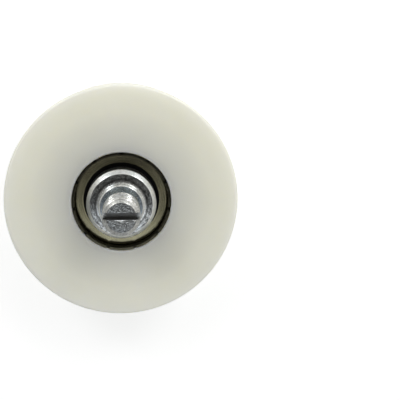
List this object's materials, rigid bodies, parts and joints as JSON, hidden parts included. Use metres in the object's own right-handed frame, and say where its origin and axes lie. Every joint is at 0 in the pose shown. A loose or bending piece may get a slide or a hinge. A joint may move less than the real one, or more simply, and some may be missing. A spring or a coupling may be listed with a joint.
{
  "type": "elevator door roller",
  "caption": "Grooved nylon door roller on sealed ball bearings, with a flanged steel stud whose threaded end has a driver slot; the wheel turns freely on the stud.",
  "frame": {"origin": "centre of the wheel's flat back, on which the roller lies", "axes": "+Z along the axle from the wheel's back to the stud's tip, +X along the driver slot"},
  "size_m": [0.08, 0.08, 0.0432],
  "materials": {
    "nylon": "semi-gloss off-white",
    "zinc_plated_steel": "bright zinc plating, turned",
    "blackened_steel": "dark oxide",
    "bearing_steel": "ground",
    "seal_rubber": "matt black",
    "cage_steel": "pressed sheet"
  },
  "bodies": {
    "axle": {"axle_stud": "zinc_plated_steel", "retaining_ring": "blackened_steel", "rear_inner_ring": "bearing_steel", "front_inner_ring": "bearing_steel"},
    "wheel": {"wheel": "nylon", "bearing_sleeve": "blackened_steel", "rear_outer_ring": "bearing_steel", "front_outer_ring": "bearing_steel", "rear_seal_lower": "seal_rubber", "rear_seal_upper": "seal_rubber", "front_seal_lower": "seal_rubber", "front_seal_upper": "seal_rubber"},
    "front_cage": {"front_ball_1": "bearing_steel", "front_ball_2": "bearing_steel", "front_ball_3": "bearing_steel", "front_ball_4": "bearing_steel", "front_ball_5": "bearing_steel", "front_ball_6": "bearing_steel", "front_ball_7": "bearing_steel", "front_ball_8": "bearing_steel", "front_ball_9": "bearing_steel", "front_cage_lower": "cage_steel", "front_cage_rivets": "cage_steel", "front_cage_upper": "cage_steel"},
    "rear_cage": {"rear_ball_1": "bearing_steel", "rear_ball_2": "bearing_steel", "rear_ball_3": "bearing_steel", "rear_ball_4": "bearing_steel", "rear_ball_5": "bearing_steel", "rear_ball_6": "bearing_steel", "rear_ball_7": "bearing_steel", "rear_ball_8": "bearing_steel", "rear_ball_9": "bearing_steel", "rear_cage_lower": "cage_steel", "rear_cage_rivets": "cage_steel", "rear_cage_upper": "cage_steel"}
  },
  "joints": [
    {"name": "wheel_spin", "type": "hinge", "parent": "axle", "child": "wheel", "pos_m": [0, 0, 0.0109], "axis": [0, 0, 1], "continuous": true},
    {"name": "front_cage_spin", "type": "hinge", "parent": "axle", "child": "front_cage", "pos_m": [0, 0, 0.0149], "axis": [0, 0, 1], "continuous": true},
    {"name": "rear_cage_spin", "type": "hinge", "parent": "axle", "child": "rear_cage", "pos_m": [0, 0, 0.0069], "axis": [0, 0, 1], "continuous": true}
  ],
  "couplings": [
    {"joint": "front_cage_spin", "follows": "wheel_spin", "ratio": 0.60132},
    {"joint": "rear_cage_spin", "follows": "wheel_spin", "ratio": 0.60132}
  ]
}
